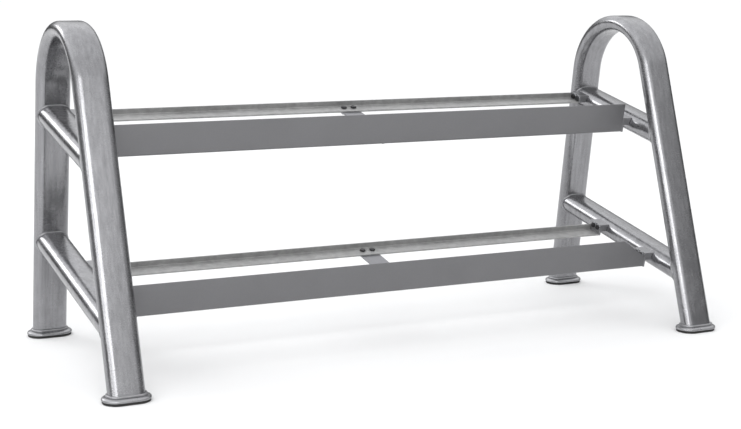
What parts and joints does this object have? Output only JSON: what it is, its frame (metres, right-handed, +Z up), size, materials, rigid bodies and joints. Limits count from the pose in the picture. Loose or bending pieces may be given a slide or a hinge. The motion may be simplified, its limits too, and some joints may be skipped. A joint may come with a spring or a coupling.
{
  "type": "dumbbell rack",
  "caption": "Free-standing two-tier dumbbell rack: arched flat-oval tube end frames joined by sloping pairs of folded steel rails.",
  "frame": {"origin": "on the floor, at the centre of the rack's footprint", "axes": "+X along the rails, towards the rack's right as seen from the front; -Y faces the user, so the shelves rise towards +Y; +Z up"},
  "size_m": [1.689, 0.693, 0.8119],
  "materials": {
    "frame_paint": "satin metallic silver powder coat",
    "foot_plate": "satin metallic silver powder coat",
    "front_rail_paint": "semi-matt mid grey powder coat",
    "rear_rail_paint": "semi-matt grey powder coat with fine flake",
    "strap_paint": "semi-matt grey powder coat",
    "fitting_paint": "semi-matt grey powder coat",
    "foot_rubber": "matt black rubber",
    "dark_bolt": "black-oxide steel",
    "zinc": "bright zinc-plated steel"
  },
  "bodies": {
    "root": {"left_end_frame": "frame_paint", "left_lower_cross_member": "frame_paint", "left_upper_cross_member": "frame_paint", "left_front_foot_plate": "foot_plate", "left_front_foot_pad": "foot_rubber", "left_rear_foot_plate": "foot_plate", "left_rear_foot_pad": "foot_rubber", "right_end_frame": "frame_paint", "right_lower_cross_member": "frame_paint", "right_upper_cross_member": "frame_paint", "right_front_foot_plate": "foot_plate", "right_front_foot_pad": "foot_rubber", "right_rear_foot_plate": "foot_plate", "right_rear_foot_pad": "foot_rubber", "lower_front_rail": "front_rail_paint", "lower_rear_rail": "rear_rail_paint", "lower_centre_strap": "strap_paint", "lower_front_left_end_fitting": "fitting_paint", "lower_rear_left_end_fitting": "fitting_paint", "lower_front_right_end_fitting": "fitting_paint", "lower_rear_right_end_fitting": "fitting_paint", "upper_front_rail": "front_rail_paint", "upper_rear_rail": "rear_rail_paint", "upper_centre_strap": "strap_paint", "upper_front_left_end_fitting": "fitting_paint", "upper_rear_left_end_fitting": "fitting_paint", "upper_front_right_end_fitting": "fitting_paint", "upper_rear_right_end_fitting": "fitting_paint", "lower_front_left_end_bolt_1": "dark_bolt", "lower_front_left_end_bolt_2": "dark_bolt", "lower_rear_left_end_bolt_1": "dark_bolt", "lower_rear_left_end_bolt_2": "dark_bolt", "lower_front_right_end_bolt_1": "dark_bolt", "lower_front_right_end_bolt_2": "dark_bolt", "lower_rear_right_end_bolt_1": "dark_bolt", "lower_rear_right_end_bolt_2": "dark_bolt", "lower_front_strap_bolt_1": "dark_bolt", "lower_front_strap_nut_1": "zinc", "lower_rear_strap_bolt_1": "dark_bolt", "lower_rear_strap_nut_1": "zinc", "lower_rear_strap_bolt_2": "dark_bolt", "lower_rear_strap_nut_2": "zinc", "upper_front_left_end_bolt_1": "dark_bolt", "upper_front_left_end_bolt_2": "dark_bolt", "upper_rear_left_end_bolt_1": "dark_bolt", "upper_rear_left_end_bolt_2": "dark_bolt", "upper_front_right_end_bolt_1": "dark_bolt", "upper_front_right_end_bolt_2": "dark_bolt", "upper_rear_right_end_bolt_1": "dark_bolt", "upper_rear_right_end_bolt_2": "dark_bolt", "upper_front_strap_bolt_1": "dark_bolt", "upper_front_strap_nut_1": "zinc", "upper_rear_strap_bolt_1": "dark_bolt", "upper_rear_strap_nut_1": "zinc", "upper_rear_strap_bolt_2": "dark_bolt", "upper_rear_strap_nut_2": "zinc"}
  },
  "joints": []
}
